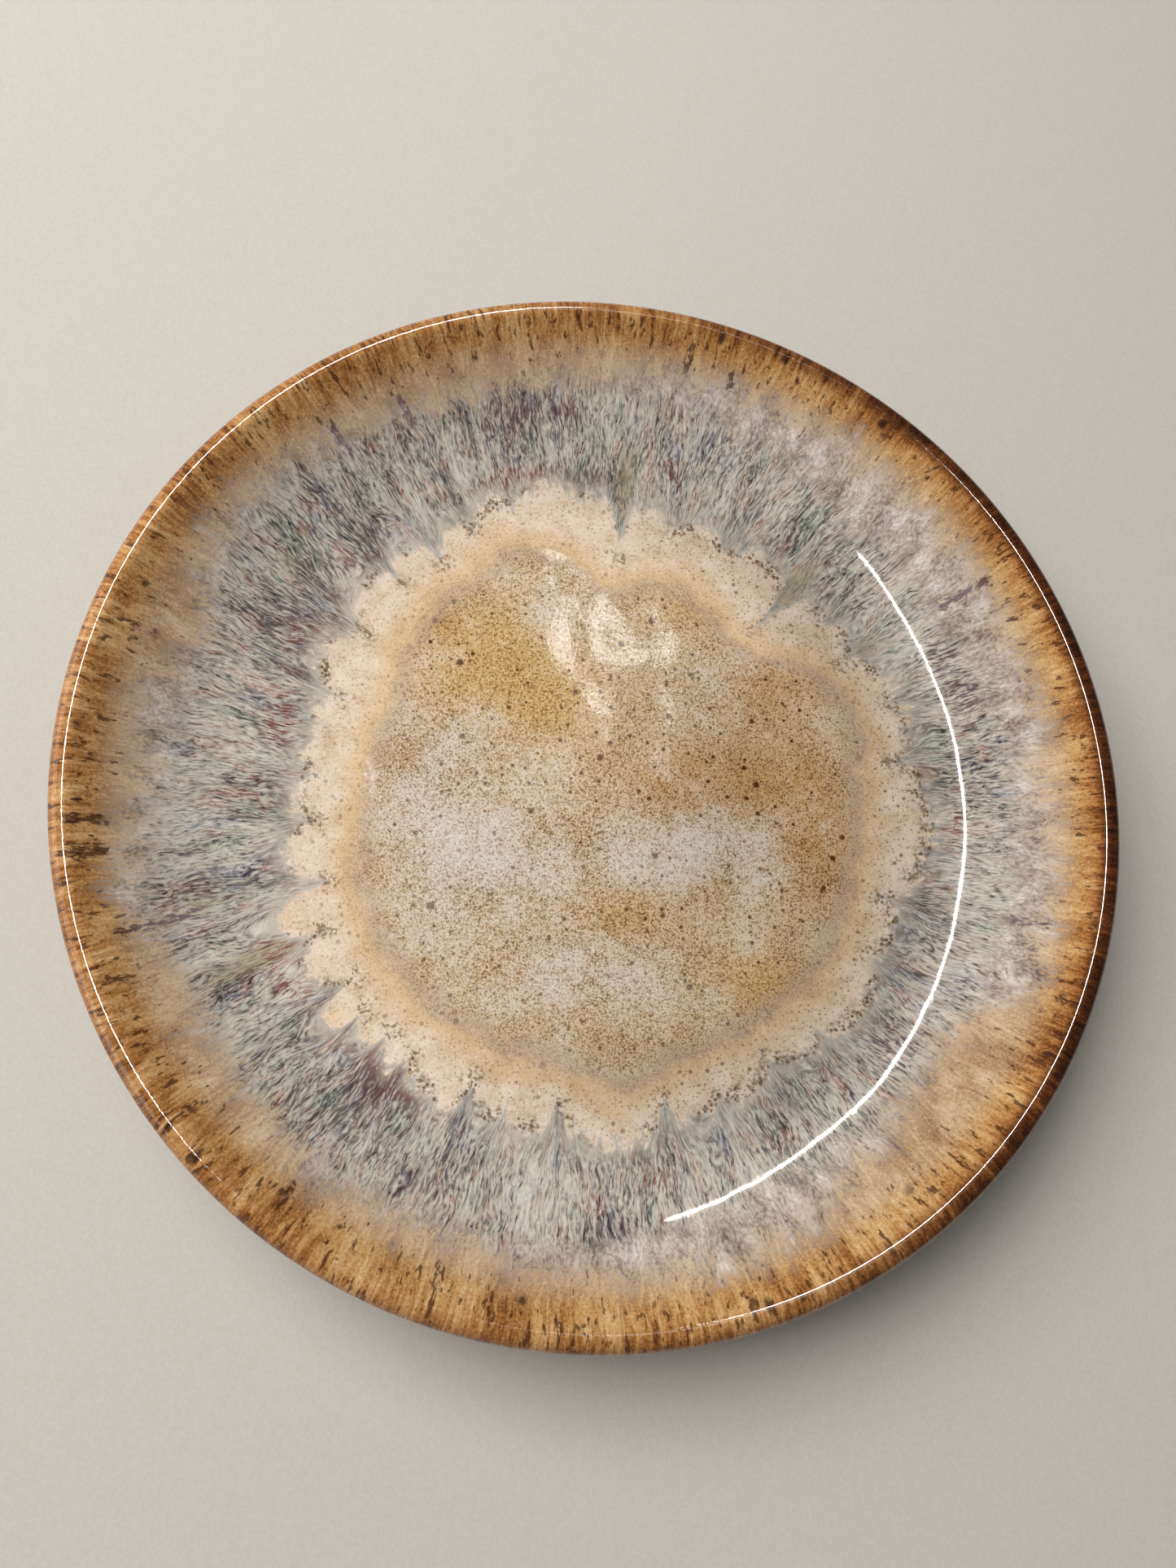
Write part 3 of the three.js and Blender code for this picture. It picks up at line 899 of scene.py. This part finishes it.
def pool_over(g, f, colour):
    """A mauve line, a golden peach halo, then cream with a few brown specks."""
    waver = g.noise(f.place, 9, detail=3, shift=11)
    inset = g.swayed(f.pool, (waver, 12.0), (f.grain, 3.0))
    fleck = g.noise(f.place, 0.8, roughness=0.6, shift=5)
    body = g.noise(f.place, 6, detail=3, shift=23)
    cream = g.ramp(g.swayed(0.5, (fleck, 1.3), (body, 1.5)), [
        (196, 166, 132), (213, 186, 154), (223, 199, 170), (229, 206, 179),
        (233, 212, 187), (238, 218, 196), (244, 228, 210),
    ])
    peach_share = g.rise(g.swayed(0.5, (fleck, 1.4), (body, 0.8)), 0.15, 0.85)
    peach = g.mix(peach_share, shown(214, 178, 132), shown(231, 201, 160))
    line = g.times(g.rise(inset, -8, -2.5), g.rise(inset, 2.0, -1.5))
    colour = g.stained(colour, (188, 163, 142), line, 0.45)
    colour = g.mix(g.times(g.rise(inset, -3.5, 3.0), 0.92), colour, peach)
    colour = g.mix(g.rise(inset, 0.5, 10.0), colour, cream)
    orange_share = g.rise(g.swayed(f.orange, (body, 0.8)), 0.0, 1.2)
    colour = g.stained(colour, (228, 190, 140), orange_share, 0.65)
    specks = g.math("MAXIMUM", g.times(f.fine_dots, 0.8), f.small_spots)
    # Specks gather where the painted shade darkens the face and thin out under the painted light.
    shade_speck_share = g.add(0.5, g.times(f.shade, -1.0))
    return g.stained(colour, (124, 84, 46), specks, g.rise(inset, -2.0, 4.0), shade_speck_share)


def fibre_colours(g, f):
    """Fine combed strands of slate, teal and plum over pale blue-grey.
    Gives their colour, the ink of the darkest strands, and where those lie."""
    combed = g.swayed(0.54, (f.hair, 2.3), (f.tuft, 0.6), (f.fuzz, 0.6), (f.bundle, 0.7), (f.field, 0.7))
    depth = g.add(combed, g.times(f.pale, 0.14), g.times(f.dark, -0.15))
    fibre = g.ramp(depth, [
        (60, 50, 52), (97, 88, 85), (143, 133, 123), (170, 160, 147),
        (184, 175, 161), (195, 187, 173), (208, 202, 189),
    ])
    warm_hue = g.noise(f.bent, 3.5, 10, detail=3, shift=19)
    teal = g.tinted(fibre, (0.82, 0.98, 0.98))
    blue = g.tinted(fibre, (0.82, 0.92, 1.14))
    rosy = g.tinted(fibre, (1.14, 0.88, 0.86))
    hued = g.add(0.25, g.times(g.rise(depth, 0.75, 0.35), 0.75))
    fibre = g.mix(g.times(g.rise(f.hue, 0.48, 0.34), hued), fibre, teal)
    fibre = g.mix(g.times(g.rise(f.hue, 0.52, 0.66), hued), fibre, blue)
    fibre = g.mix(g.times(g.rise(warm_hue, 0.54, 0.66), hued), fibre, rosy)
    olive_share = g.rise(g.swayed(f.olive, (f.hair, 0.8)), 0.3, 0.95)
    fibre = g.stained(fibre, (164, 152, 114), olive_share, 0.55)

    nick = g.noise(f.bent, 0.8, 3.0, shift=27)
    thicket = g.add(g.times(f.dark, 0.06), g.times(f.plum, 0.06), g.times(f.pale, -0.06))
    nicks = g.rise(g.add(nick, g.swayed(thicket, (f.field, -0.3))), 0.56, 0.7)
    ink = g.mix(g.rise(f.hue, 0.44, 0.56), shown(76, 86, 84), shown(78, 76, 90))
    ink = g.stained(ink, (94, 62, 64), g.rise(g.add(warm_hue, g.times(f.plum, 0.25)), 0.52, 0.62))
    ink = g.stained(ink, (132, 66, 48), g.rise(f.rust, 0.15, 0.8))
    fibre = g.mix(g.times(nicks, 0.55), fibre, ink)
    strand = g.rise(g.add(g.swing(f.hair, 1.0), g.swing(f.tuft, 0.5)), 0.02, -0.09)
    fibre = g.stained(fibre, (98, 68, 78), g.rise(f.plum, 0.1, 0.9), strand, 0.6)
    fibre = g.stained(fibre, (122, 58, 46), g.rise(f.rust, 0.05, 0.7), strand, 0.8)
    return fibre, ink, nicks


def frost_over(g, f, fibre, ink, nicks):
    """Granular pinkish white, outwards of the long fibres."""
    patch = g.noise(f.bent, 4.5, 9, detail=3, shift=33)
    granular = g.swayed(0.5, (f.grit, 1.8), (patch, 1.6))
    frosty = g.ramp(g.add(granular, g.times(f.pale, 0.12), g.times(f.dark, -0.16)), [
        (106, 90, 82), (138, 122, 111), (162, 147, 133), (177, 162, 147),
        (191, 177, 163), (206, 194, 181), (222, 213, 202),
    ])
    frosty = g.mix(g.rise(f.hue, 0.48, 0.68), frosty, g.tinted(frosty, (0.98, 0.97, 1.05)))
    frosty = g.mix(g.times(nicks, 0.28), frosty, ink)
    front = g.swayed(f.frost, (f.bundle, 14.0), (f.grit, 8.0), (f.hair, 6.0))
    return g.mix(g.rise(front, -4.0, 4.0), fibre, frosty)


def amber_over(g, f, wall):
    """Honey near the frost and toffee towards the lip, with fine radial streaks and brown dashes. The lip's
    brown is painted near black on the right-hand side as shade, and starts further out on the left as
    painted light.
    """
    line_up = g.noise(f.bent, 0.75, 9, detail=3, roughness=0.65, shift=41)
    sweep = g.noise(f.bent, 7, 16, shift=47)
    streaky = g.swayed(0.5, (line_up, 1.0), (f.sand, 1.0), (sweep, 1.3))
    tone = g.add(streaky, g.times(g.swing(f.groove, 1.3), f.near_lip))
    honey = g.ramp(tone, [
        (124, 88, 58), (152, 115, 79), (169, 135, 100), (180, 149, 114),
        (190, 162, 128), (199, 173, 141), (210, 188, 158),
    ])
    toffee = g.ramp(tone, [
        (90, 50, 23), (137, 86, 42), (161, 110, 60), (176, 128, 76),
        (188, 145, 93), (200, 161, 111), (214, 181, 136),
    ])
    rust_brown = g.ramp(tone, [
        (60, 27, 8), (96, 47, 15), (123, 65, 24), (142, 81, 33),
        (158, 98, 45), (176, 120, 63), (198, 152, 98),
    ])
    shaded_lip_brown = g.ramp(tone, [
        (22, 8, 2), (36, 14, 3), (52, 22, 6), (66, 30, 8),
        (80, 39, 12), (100, 52, 20), (132, 78, 38),
    ])
    glow = g.mix(g.rise(g.swayed(f.radius, (sweep, 6.0)), 135.5, 143.0), honey, toffee)
    # Painted light: on the left the lip's brown starts further out, so the left side of the rim stays
    # lighter.
    left_light_delay = g.times(g.math("SUBTRACT", 1.0, f.char), -5.5)
    browning = g.swayed(g.add(f.run, left_light_delay), (sweep, 4.0))
    glow = g.mix(g.rise(browning, WALL_END - 7.0, WALL_END + 3.0), glow, rust_brown)
    # Painted shade: the lip turns a near-black brown on the right-hand side, away from the light.
    lip_shade_share = g.rise(g.swayed(f.run, (sweep, 3.0)), WALL_END - 2.0, WALL_END + 2.0)
    glow = g.mix(g.times(f.char, lip_shade_share), glow, shaded_lip_brown)

    barely_bent = g.vector("ADD", f.flow, g.vector("MULTIPLY", f.push, (0.4, 0.4, 0.4)))
    dash = g.noise(barely_bent, 1.15, 4.5, detail=3, roughness=0.6, shift=51)
    crowd = g.times(g.rise(f.run, WALL_END - 22, WALL_END), 0.1)
    glow = g.stained(glow, (70, 36, 16), g.rise(g.add(dash, crowd), 0.67, 0.73), 0.82)
    blots = g.dots(g.vector("MULTIPLY", f.bent, (1.0, 1.0, 0.5)), 4.4, 0.4, 0.3, 0.9, 0.5)
    glow = g.stained(glow, (48, 23, 10), blots, g.rise(f.run, WALL_END - 15, WALL_END - 3), 0.88)
    front = g.swayed(f.amber, (sweep, 18.0), (line_up, 20.0), (f.grit, 16.0), (f.sand, 8.0))
    return g.mix(g.rise(front, -5.5, 4.5), wall, glow)


def streaks_over(g, f, wall):
    """Ragged streaks, plum on the frost and dark brown near the lip."""
    ink = g.mix(g.rise(f.run, WALL_END - 17, WALL_END - 9), shown(108, 84, 94), shown(62, 36, 22))
    shred = g.noise(f.bent, 0.9, 3.2, detail=3, roughness=0.65, shift=53)
    ragged = g.rise(g.swayed(f.streak, (shred, 3.0), (f.sand, 0.8)), 0.42, 0.9)
    return g.mix(g.times(ragged, g.rise(f.streak, 0.03, 0.3), 0.85), wall, ink)


def wall_over(g, f, colour, wall):
    """The runny coat's feathered end over the cream, with a pale blue rim."""
    torn = g.noise(f.place, 5.0, detail=4, shift=65)
    feather = g.swayed(f.edge, (f.bundle, 13.0), (torn, 10.0), (f.hair, 10.0), (f.fuzz, 4.0), (f.tuft, 5.0))
    rim = g.times(g.rise(feather, -2.0, 0.0), g.rise(feather, 3.5, 0.8))
    wall = g.stained(wall, (190, 194, 192), rim, g.add(0.25, g.times(f.tip, 0.5)))
    between_tips = g.math("SUBTRACT", 1.0, f.tip, clamp=True)
    wall = g.stained(wall, (204, 190, 172), g.rise(feather, 7.0, 1.0), between_tips, 0.35)
    colour = g.stained(colour, (228, 216, 202), g.rise(feather, -5.0, -1.0), 0.25)
    return g.mix(g.rise(feather, -1.1, 1.6), colour, wall)


def crumbs_over(g, f, colour):
    """Brown flecks and crumbs where the runny coat ends, most of them at the drips' tips."""
    flecks = g.dots(f.place, 1.3, 0.75, 0.3, 0.72, 0.5)
    # The flecks gather a little more where the painted shade darkens the face.
    gathered = g.add(g.noise(f.place, 9, shift=61), g.times(f.shade, -0.3))
    fringe = g.times(g.rise(f.edge, -4.5, -1.0), g.rise(f.edge, 2.5, 0.5), g.rise(gathered, 0.5, 0.6))
    colour = g.stained(colour, (96, 70, 36), flecks, fringe, 0.9)
    crumb = g.noise(f.place, 1.5, detail=3, roughness=0.75, shift=67)
    clustered = g.rise(g.swayed(g.times(f.tip, 0.9), (crumb, 4.0)), 0.75, 1.05)
    tip_crumbs = g.times(clustered, g.rise(f.tip, 0.12, 0.45), g.rise(f.edge, 2.5, 0.0))
    fringe_crumbs = g.times(g.rise(crumb, 0.5, 0.58), fringe)
    return g.stained(colour, (108, 86, 48), g.math("MAXIMUM", tip_crumbs, fringe_crumbs), 0.72)


def glaze_height(g, f):
    """The surface in millimetres: orange peel, fine ripples in the well and grooves down the lip."""
    peel = g.noise(f.place, 3.4, detail=3, roughness=0.6, shift=71)
    ripple = g.noise(f.place, 0.9, roughness=0.6, shift=73)
    in_well = g.times(g.rise(f.radius, 88, 70), g.add(g.swing(peel, 0.024), g.swing(ripple, 0.012)))
    return g.add(g.swing(peel, 0.003), in_well, g.times(f.near_lip, g.swing(f.groove, 0.045)))


def glaze_group():
    """The reactive glaze's colour, roughness and height anywhere on the face, from the stored fields."""
    tree = bpy.data.node_groups.new("reactive_glaze", "ShaderNodeTree")
    for name, kind in (("Color", "Color"), ("Roughness", "Float"), ("Height", "Float")):
        tree.interface.new_socket(name, in_out="OUTPUT", socket_type="NodeSocket" + kind)
    g = Graph(tree)
    out = g.node("NodeGroupOutput")
    f = glaze_fields(g)

    fibre, ink, nicks = fibre_colours(g, f)
    wall = frost_over(g, f, fibre, ink, nicks)
    wall = amber_over(g, f, wall)
    wall = streaks_over(g, f, wall)
    colour = well_colour(g, f)
    colour = pool_over(g, f, colour)
    colour = wall_over(g, f, colour, wall)
    colour = crumbs_over(g, f, colour)
    # Painted light and shade: the shade field lightens the face towards the left and darkens it towards the
    # right.
    colour = g.tinted(colour, g.add(1.0, f.shade))
    pinpricks = g.dots(f.place, 4.2, 0.3, 0.14, 0.36, 0.4)

    g.plug(out.inputs["Color"], g.stained(colour, (84, 58, 36), pinpricks, 0.6))
    g.plug(out.inputs["Roughness"], g.add(0.034, g.times(f.spots, 0.04)))
    g.plug(out.inputs["Height"], glaze_height(g, f))
    return tree


def new_material(name, ior):
    material = bpy.data.materials.new(name)
    material.use_nodes = True
    material.node_tree.nodes["Principled BSDF"].inputs["IOR"].default_value = ior
    return material, Graph(material.node_tree)


def surfaced(material, colour, roughness, height, strength=1.0):
    """Gives the material its colour, its roughness and its relief, whose height is in millimetres."""
    g = Graph(material.node_tree)
    shader = material.node_tree.nodes["Principled BSDF"]
    bump = g.node("ShaderNodeBump")
    g.plug(bump.inputs["Strength"], strength)
    g.plug(bump.inputs["Distance"], MM)
    g.plug(bump.inputs["Height"], height)
    g.plug(shader.inputs["Normal"], bump.outputs["Normal"])
    g.plug(shader.inputs["Base Color"], colour)
    g.plug(shader.inputs["Roughness"], roughness)
    return material


GLAZE_IOR = 1.5
CLAY_IOR = 1.45
FLOOR_IOR = 1.4


def face_material(name, tree):
    material, g = new_material(name, GLAZE_IOR)
    return surfaced(material, *g.node("ShaderNodeGroup", node_tree=tree).outputs)


def back_material(name, lightness):
    """Amber-brown glaze over iron-speckled clay."""
    material, g = new_material(name, GLAZE_IOR)
    place = g.place()
    sweep = g.noise(place, 22, detail=3, shift=5)
    grain = g.noise(place, 0.8, roughness=0.6, shift=9)
    streaks = g.noise(place, 3.0, 7, detail=3, shift=13)
    peel = g.noise(place, 2.2)
    colour = g.ramp(g.swayed(lightness, (sweep, 1.4), (grain, 0.9), (streaks, 1.0)), [
        (58, 32, 15), (92, 54, 25), (120, 76, 38), (136, 90, 48),
        (150, 104, 60), (166, 122, 76), (186, 146, 100),
    ])
    specks = g.dots(place, 2.6, 0.5, 0.2, 0.55, 0.5)
    spots = g.dots(g.vector("ADD", place, (5.0, 2.0, 8.0)), 8, 0.4, 0.5, 1.2, 0.4)
    colour = g.stained(colour, (70, 42, 24), specks, 0.6)
    colour = g.stained(colour, (48, 28, 16), spots, 0.75)
    height = g.add(g.swing(peel, 0.014), g.times(spots, -0.012))
    return surfaced(material, colour, g.swayed(0.12, (streaks, 0.08)), height)


def clay_material():
    """Bare buff stoneware: matte, with grog, iron specks and toasted patches."""
    material, g = new_material("bare_stoneware_clay", CLAY_IOR)
    place = g.place()
    grog = g.noise(place, 0.5, detail=3, roughness=0.7)
    toast = g.noise(place, 16, detail=3, shift=4)
    colour = g.ramp(g.swayed(0.5, (grog, 1.2), (toast, 1.0)), [
        (150, 118, 88), (168, 136, 104), (182, 152, 120), (190, 161, 129),
        (198, 170, 139), (206, 181, 151), (216, 194, 167),
    ])
    specks = g.dots(place, 1.9, 0.4, 0.14, 0.4, 0.4)
    pits = g.dots(place, 1.3, 0.35, 0.12, 0.3, 0.4)
    colour = g.stained(colour, (92, 64, 44), specks, 0.7)
    height = g.add(g.swing(grog, 0.08), g.times(pits, -0.05))
    return surfaced(material, colour, g.swayed(0.82, (grog, 0.2)), height)


def dress(piece, material, node):
    """Gives a piece its material, hangs it on the plate's root body and hides the CAD part that it stands
    in for.
    """
    piece.data.materials.append(material)
    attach(piece, "root")
    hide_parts(node)


glaze = glaze_group()
dress(clay_piece, clay_material(), "stoneware_body")
tan_glaze = face_material("speckled_tan_glaze", glaze)
dress(speckled_piece, tan_glaze, "speckled_base_glaze")
dress(pool_piece, face_material("cream_pool_glaze", glaze), "cream_pool_glaze")
dress(flow_piece, face_material("streaked_runny_glaze", glaze), "streaked_wall_glaze")
dress(back_piece, back_material("amber_back_glaze", 0.52), "back_glaze")
dress(recess_piece, back_material("amber_recess_glaze", 0.6), "foot_recess_glaze")


# ---- floor, light and camera ----
def make_floor():
    half = 4.0
    mesh = bpy.data.meshes.new("floor")
    corners = [(-half, -half, 0), (half, -half, 0), (half, half, 0), (-half, half, 0)]
    mesh.from_pydata(corners, [], [(0, 1, 2, 3)])
    floor = placed("floor", mesh)
    floor.location.z = -0.0002  # just clear of the foot ring
    material, g = new_material("pale_floor", FLOOR_IOR)
    shade = g.noise(g.place(), 0.9, detail=3, shift=2)
    tint = g.mix(g.rise(shade, 0.3, 0.7), shown(196, 190, 180), shown(202, 196, 187))
    material.node_tree.nodes["Principled BSDF"].inputs["Specular IOR Level"].default_value = 0.15
    mesh.materials.append(surfaced(material, tint, 0.8, g.swing(shade, 0.1), 0.4))


def soft_sky():
    """Low light that is brighter on the left, under a dim zenith."""
    world = bpy.data.worlds.new("soft_sky")
    bpy.context.scene.world = world
    world.use_nodes = True
    g = Graph(world.node_tree)
    background = world.node_tree.nodes["Background"]
    across, _, upwards = g.split(g.node("ShaderNodeTexCoord").outputs["Generated"])
    low_light = g.mix(g.rise(across, 0.6, -0.7), (0.08, 0.075, 0.07), (0.45, 0.42, 0.38))
    g.plug(background.inputs["Color"], g.mix(g.rise(upwards, 0.15, 0.7), low_light, (0.1, 0.095, 0.09)))


NORTH = Vector((0, 1, 0))
UPWARDS = Vector((0, 0, 1))


def aimed(place, target, up=NORTH):
    """A matrix that stands at place and looks at target along its own -Z."""
    back = (Vector(place) - Vector(target)).normalized()
    side = up.cross(back).normalized()
    return Matrix.Translation(place) @ Matrix((side, back.cross(side), back)).transposed().to_4x4()


def panel(name, place, target, width, length, radiance, up=NORTH):
    """A rectangular lamp of even radiance, its length along up."""
    lamp = bpy.data.lights.new(name, "AREA")
    lamp.shape = "RECTANGLE"
    lamp.size, lamp.size_y = width, length
    lamp.energy = radiance * math.pi * width * length
    lamp.color = LIGHT_WHITE
    made = placed(name, lamp)
    made.matrix_world = aimed(place, target, up)
    made.visible_camera = False
    return made


# Some of the mirrored lamps show on the speckled coat alone.
speckled_only = bpy.data.collections.new("speckled_only")
speckled_only.objects.link(speckled_piece)
MIRRORED_WHITE = (1.0, 0.985, 0.96)


def mirrored(lamp, on_speckled=False):
    """Makes a lamp one that lights nothing and is only seen in the glaze's shine."""
    lamp.data.color = MIRRORED_WHITE
    lamp.visible_diffuse = False
    if on_speckled:
        lamp.light_linking.receiver_collection = speckled_only


STRIP_OVERLAP = 1.03  # how far each lamp of a strip runs past its share of the line


def strip(name, points, steps, height, width, radiance, on_speckled=False):
    """A thin mirrored lamp at one height that follows a smooth line through the points."""
    places = np.array(points)
    slopes = np.gradient(places, axis=0)
    line = []
    for t in np.linspace(0, len(points) - 1, steps + 1):
        i = min(int(t), len(points) - 2)
        x, y = hermite(t - i, places[i], places[i + 1], slopes[i], slopes[i + 1])
        line.append(Vector((x, y, height)))
    for i, (start, end) in enumerate(zip(line, line[1:])):
        middle = (start + end) / 2
        target = (middle.x * 0.3, middle.y * 0.2, 0)
        length = (end - start).length * STRIP_OVERLAP
        mirrored(panel(f"{name}_{i}", middle, target, width, length, radiance, end - start), on_speckled)


make_floor()
soft_sky()

overhead = panel("overhead", (-0.85, 0.58, 1.4), (0, 0, 0), width=1.35, length=1.35, radiance=7.0)
overhead.visible_glossy = False

window = panel("window", (-1.5, 0.05, 0.68), (0, 0, 0.03), width=2.0, length=1.0, radiance=1.8, up=UPWARDS)
mirrored(window)

STRIP_LINE = ((-0.2, 0.005), (-0.273, 0.463), (-0.141, 1.01), (0.026, 1.27), (0.33, 1.63))
strip("strip", STRIP_LINE, steps=16, height=2.0, width=0.006, radiance=300)

LIP_REFERENCE = (0.14, -0.02)  # the place on the lip from which the far strip covers the near one
far_line = [tuple(2 * a - b for a, b in zip(point, LIP_REFERENCE)) for point in STRIP_LINE]
strip("lip_strip", far_line, steps=12, height=4.0, width=0.12, radiance=130, on_speckled=True)

# Each is (x, y, width, length), at one height over the plate.
CEILING_LAMPS = (
    (0.31, 0.82, 0.08, 0.13), (0.40, 0.80, 0.09, 0.06),
    (0.336, 0.62, 0.03, 0.13), (0.227, 0.98, 0.045, 0.04),
)
CEILING = 2.0
for i, (x, y, width, length) in enumerate(CEILING_LAMPS):
    lamp = panel(f"ceiling_lamp_{i}", (x, y, CEILING), (0, 0, 0), width, length, radiance=10)
    mirrored(lamp, on_speckled=True)

CAMERA_PLACE = Vector((-0.0553, -0.0847, 0.3546))
CAMERA_HEADING = Vector((0.1424, 0.2436, -0.9594))
CAMERA_UP = Vector((0, 0.9692, 0.2461))
camera_data = bpy.data.cameras.new("camera")
camera_data.lens = 27.0
camera_data.sensor_width = 36.0
camera = placed("camera", camera_data)
camera.matrix_world = aimed(CAMERA_PLACE, CAMERA_PLACE + CAMERA_HEADING, CAMERA_UP)
bpy.context.scene.camera = camera
bpy.context.scene.view_settings.view_transform = "Standard"
